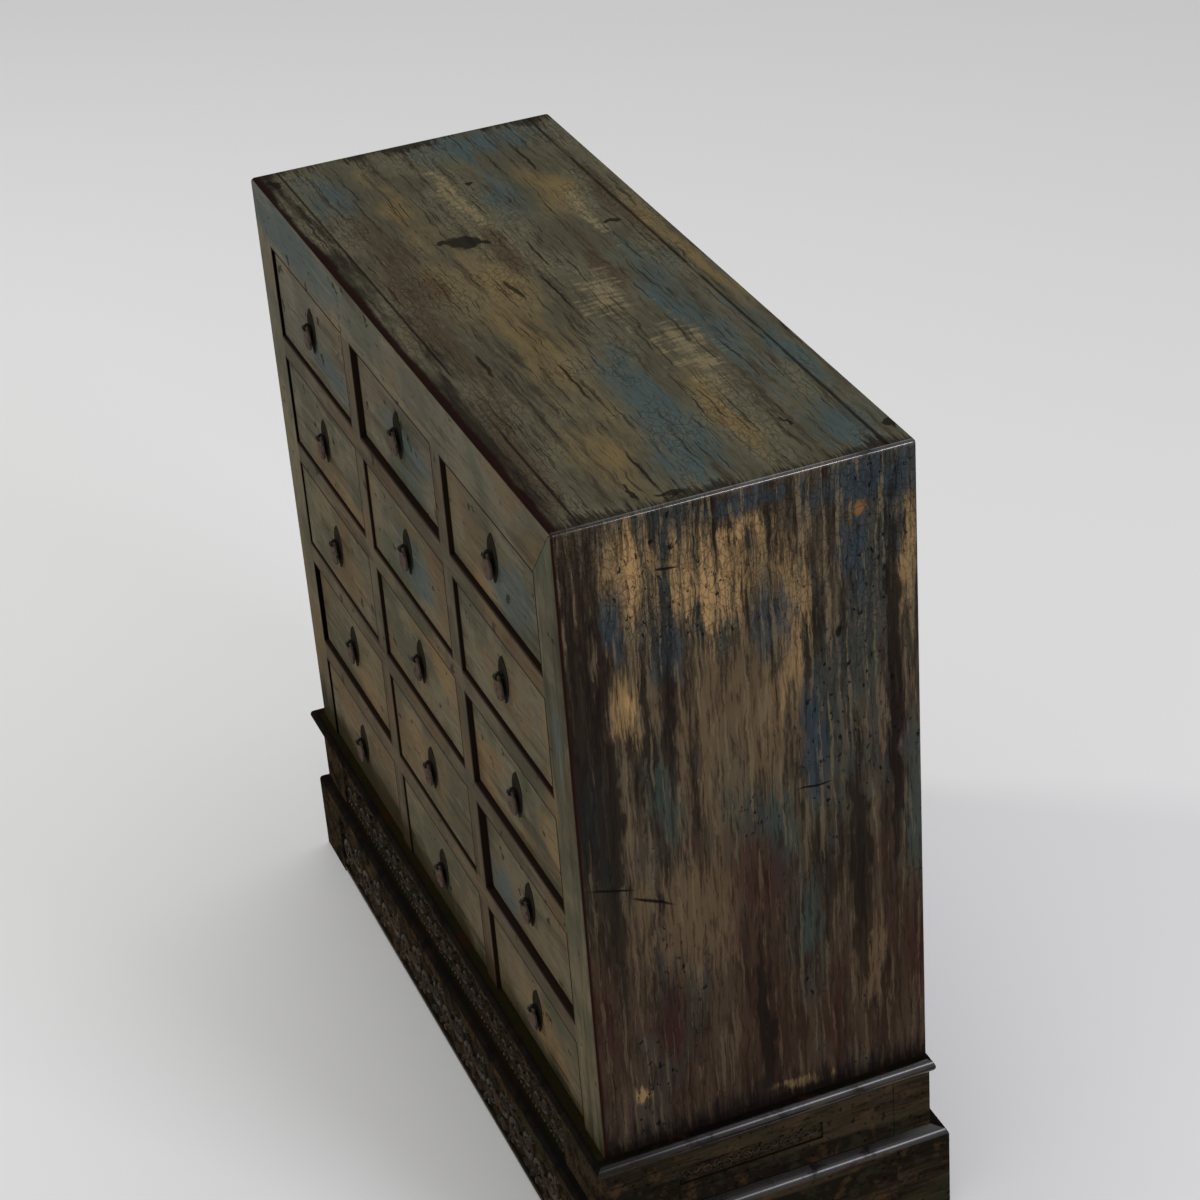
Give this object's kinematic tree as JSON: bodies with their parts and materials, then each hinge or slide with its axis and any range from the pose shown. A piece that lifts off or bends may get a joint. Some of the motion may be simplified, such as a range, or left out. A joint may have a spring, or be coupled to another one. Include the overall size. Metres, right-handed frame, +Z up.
{
  "type": "drawer cabinet",
  "caption": "Tabletop spice cabinet: rows of small drawers with drop pulls in a mitred face frame, on a low waisted stand with a nosed ledge and shouldered aprons.",
  "frame": {"origin": "middle of the stand's footprint, on the floor", "axes": "+Z up, -Y the way the drawer fronts face and slide out, +X to the right as one looks at the fronts"},
  "size_m": [0.62, 0.2554, 0.6],
  "materials": {
    "front_lacquer": "aged clear lacquer over greenish-grey paint, glossy",
    "top_lacquer": "aged lacquer over brown paint, knots and hairline cracks, glossy",
    "left_side_lacquer": "aged lacquer over ochre and brown paint",
    "right_side_lacquer": "aged lacquer over ochre, brown and blue paint, worn in streaks",
    "back_lacquer": "aged lacquer over brown paint",
    "back_board": "bare aged softwood",
    "inner_wood": "bare planed softwood",
    "drawer_lacquer": "aged lacquer over greenish-grey paint on the front, bare softwood inside",
    "stand_ledge_lacquer": "near-black brown lacquer, glossy, rubbed on the nosing",
    "stand_waist_lacquer": "near-black brown lacquer, satin",
    "stand_apron_lacquer": "near-black brown lacquer, satin, rubbed on the arrises",
    "pull_iron": "blackened iron",
    "drop_metal": "worn grey-pink metal, rubbed bright"
  },
  "bodies": {
    "chest": {"front_top_rail": "front_lacquer", "front_stiles": "front_lacquer", "front_rails": "front_lacquer", "front_uprights": "front_lacquer", "drawer_shelves": "inner_wood", "drawer_dividers": "inner_wood", "top_panel": "top_lacquer", "left_side_panel": "left_side_lacquer", "right_side_panel": "right_side_lacquer", "back_frame": "back_lacquer", "back_panel": "back_board", "stand_ledge": "stand_ledge_lacquer", "stand_waist": "stand_waist_lacquer", "stand_aprons": "stand_apron_lacquer", "stand_feet": "stand_apron_lacquer"},
    "drawer_r1c1": {"drawer_r1c1": "drawer_lacquer", "pull_plate_r1c1": "pull_iron"},
    "drop_r1c1": {"pull_drop_r1c1": "drop_metal"},
    "drawer_r1c2": {"drawer_r1c2": "drawer_lacquer", "pull_plate_r1c2": "pull_iron"},
    "drop_r1c2": {"pull_drop_r1c2": "drop_metal"},
    "drawer_r1c3": {"drawer_r1c3": "drawer_lacquer", "pull_plate_r1c3": "pull_iron"},
    "drop_r1c3": {"pull_drop_r1c3": "drop_metal"},
    "drawer_r2c1": {"drawer_r2c1": "drawer_lacquer", "pull_plate_r2c1": "pull_iron"},
    "drop_r2c1": {"pull_drop_r2c1": "drop_metal"},
    "drawer_r2c2": {"drawer_r2c2": "drawer_lacquer", "pull_plate_r2c2": "pull_iron"},
    "drop_r2c2": {"pull_drop_r2c2": "drop_metal"},
    "drawer_r2c3": {"drawer_r2c3": "drawer_lacquer", "pull_plate_r2c3": "pull_iron"},
    "drop_r2c3": {"pull_drop_r2c3": "drop_metal"},
    "drawer_r3c1": {"drawer_r3c1": "drawer_lacquer", "pull_plate_r3c1": "pull_iron"},
    "drop_r3c1": {"pull_drop_r3c1": "drop_metal"},
    "drawer_r3c2": {"drawer_r3c2": "drawer_lacquer", "pull_plate_r3c2": "pull_iron"},
    "drop_r3c2": {"pull_drop_r3c2": "drop_metal"},
    "drawer_r3c3": {"drawer_r3c3": "drawer_lacquer", "pull_plate_r3c3": "pull_iron"},
    "drop_r3c3": {"pull_drop_r3c3": "drop_metal"},
    "drawer_r4c1": {"drawer_r4c1": "drawer_lacquer", "pull_plate_r4c1": "pull_iron"},
    "drop_r4c1": {"pull_drop_r4c1": "drop_metal"},
    "drawer_r4c2": {"drawer_r4c2": "drawer_lacquer", "pull_plate_r4c2": "pull_iron"},
    "drop_r4c2": {"pull_drop_r4c2": "drop_metal"},
    "drawer_r4c3": {"drawer_r4c3": "drawer_lacquer", "pull_plate_r4c3": "pull_iron"},
    "drop_r4c3": {"pull_drop_r4c3": "drop_metal"},
    "drawer_r5c1": {"drawer_r5c1": "drawer_lacquer", "pull_plate_r5c1": "pull_iron"},
    "drop_r5c1": {"pull_drop_r5c1": "drop_metal"},
    "drawer_r5c2": {"drawer_r5c2": "drawer_lacquer", "pull_plate_r5c2": "pull_iron"},
    "drop_r5c2": {"pull_drop_r5c2": "drop_metal"},
    "drawer_r5c3": {"drawer_r5c3": "drawer_lacquer", "pull_plate_r5c3": "pull_iron"},
    "drop_r5c3": {"pull_drop_r5c3": "drop_metal"}
  },
  "joints": [
    {"name": "drawer_r1c1_slide", "type": "slide", "parent": "chest", "child": "drawer_r1c1", "axis": [0, -1, 0], "range_m": [0, 0.15]},
    {"name": "drop_r1c1_swing", "type": "hinge", "parent": "drawer_r1c1", "child": "drop_r1c1", "pos_m": [-0.183, -0.12135, 0.5282], "axis": [-1, 0, 0], "range_deg": [-6, 86]},
    {"name": "drawer_r1c2_slide", "type": "slide", "parent": "chest", "child": "drawer_r1c2", "axis": [0, -1, 0], "range_m": [0, 0.15]},
    {"name": "drop_r1c2_swing", "type": "hinge", "parent": "drawer_r1c2", "child": "drop_r1c2", "pos_m": [0, -0.11915, 0.5282], "axis": [-1, 0, 0], "range_deg": [-6, 86]},
    {"name": "drawer_r1c3_slide", "type": "slide", "parent": "chest", "child": "drawer_r1c3", "axis": [0, -1, 0], "range_m": [0, 0.15]},
    {"name": "drop_r1c3_swing", "type": "hinge", "parent": "drawer_r1c3", "child": "drop_r1c3", "pos_m": [0.183, -0.12035, 0.5282], "axis": [-1, 0, 0], "range_deg": [-6, 86]},
    {"name": "drawer_r2c1_slide", "type": "slide", "parent": "chest", "child": "drawer_r2c1", "axis": [0, -1, 0], "range_m": [0, 0.15]},
    {"name": "drop_r2c1_swing", "type": "hinge", "parent": "drawer_r2c1", "child": "drop_r2c1", "pos_m": [-0.183, -0.12185, 0.4396], "axis": [-1, 0, 0], "range_deg": [-6, 86]},
    {"name": "drawer_r2c2_slide", "type": "slide", "parent": "chest", "child": "drawer_r2c2", "axis": [0, -1, 0], "range_m": [0, 0.15]},
    {"name": "drop_r2c2_swing", "type": "hinge", "parent": "drawer_r2c2", "child": "drop_r2c2", "pos_m": [0, -0.12165, 0.4396], "axis": [-1, 0, 0], "range_deg": [-6, 86]},
    {"name": "drawer_r2c3_slide", "type": "slide", "parent": "chest", "child": "drawer_r2c3", "axis": [0, -1, 0], "range_m": [0, 0.15]},
    {"name": "drop_r2c3_swing", "type": "hinge", "parent": "drawer_r2c3", "child": "drop_r2c3", "pos_m": [0.183, -0.12105, 0.4396], "axis": [-1, 0, 0], "range_deg": [-6, 86]},
    {"name": "drawer_r3c1_slide", "type": "slide", "parent": "chest", "child": "drawer_r3c1", "axis": [0, -1, 0], "range_m": [0, 0.15]},
    {"name": "drop_r3c1_swing", "type": "hinge", "parent": "drawer_r3c1", "child": "drop_r3c1", "pos_m": [-0.183, -0.12245, 0.351], "axis": [-1, 0, 0], "range_deg": [-6, 86]},
    {"name": "drawer_r3c2_slide", "type": "slide", "parent": "chest", "child": "drawer_r3c2", "axis": [0, -1, 0], "range_m": [0, 0.15]},
    {"name": "drop_r3c2_swing", "type": "hinge", "parent": "drawer_r3c2", "child": "drop_r3c2", "pos_m": [0, -0.12105, 0.351], "axis": [-1, 0, 0], "range_deg": [-6, 86]},
    {"name": "drawer_r3c3_slide", "type": "slide", "parent": "chest", "child": "drawer_r3c3", "axis": [0, -1, 0], "range_m": [0, 0.15]},
    {"name": "drop_r3c3_swing", "type": "hinge", "parent": "drawer_r3c3", "child": "drop_r3c3", "pos_m": [0.183, -0.11975, 0.351], "axis": [-1, 0, 0], "range_deg": [-6, 86]},
    {"name": "drawer_r4c1_slide", "type": "slide", "parent": "chest", "child": "drawer_r4c1", "axis": [0, -1, 0], "range_m": [0, 0.15]},
    {"name": "drop_r4c1_swing", "type": "hinge", "parent": "drawer_r4c1", "child": "drop_r4c1", "pos_m": [-0.183, -0.12005, 0.2624], "axis": [-1, 0, 0], "range_deg": [-6, 86]},
    {"name": "drawer_r4c2_slide", "type": "slide", "parent": "chest", "child": "drawer_r4c2", "axis": [0, -1, 0], "range_m": [0, 0.15]},
    {"name": "drop_r4c2_swing", "type": "hinge", "parent": "drawer_r4c2", "child": "drop_r4c2", "pos_m": [0, -0.12195, 0.2624], "axis": [-1, 0, 0], "range_deg": [-6, 86]},
    {"name": "drawer_r4c3_slide", "type": "slide", "parent": "chest", "child": "drawer_r4c3", "axis": [0, -1, 0], "range_m": [0, 0.15]},
    {"name": "drop_r4c3_swing", "type": "hinge", "parent": "drawer_r4c3", "child": "drop_r4c3", "pos_m": [0.183, -0.11855, 0.2624], "axis": [-1, 0, 0], "range_deg": [-6, 86]},
    {"name": "drawer_r5c1_slide", "type": "slide", "parent": "chest", "child": "drawer_r5c1", "axis": [0, -1, 0], "range_m": [0, 0.15]},
    {"name": "drop_r5c1_swing", "type": "hinge", "parent": "drawer_r5c1", "child": "drop_r5c1", "pos_m": [-0.183, -0.12225, 0.1738], "axis": [-1, 0, 0], "range_deg": [-6, 86]},
    {"name": "drawer_r5c2_slide", "type": "slide", "parent": "chest", "child": "drawer_r5c2", "axis": [0, -1, 0], "range_m": [0, 0.15]},
    {"name": "drop_r5c2_swing", "type": "hinge", "parent": "drawer_r5c2", "child": "drop_r5c2", "pos_m": [0, -0.12235, 0.1738], "axis": [-1, 0, 0], "range_deg": [-6, 86]},
    {"name": "drawer_r5c3_slide", "type": "slide", "parent": "chest", "child": "drawer_r5c3", "axis": [0, -1, 0], "range_m": [0, 0.15]},
    {"name": "drop_r5c3_swing", "type": "hinge", "parent": "drawer_r5c3", "child": "drop_r5c3", "pos_m": [0.183, -0.12075, 0.1738], "axis": [-1, 0, 0], "range_deg": [-6, 86]}
  ]
}
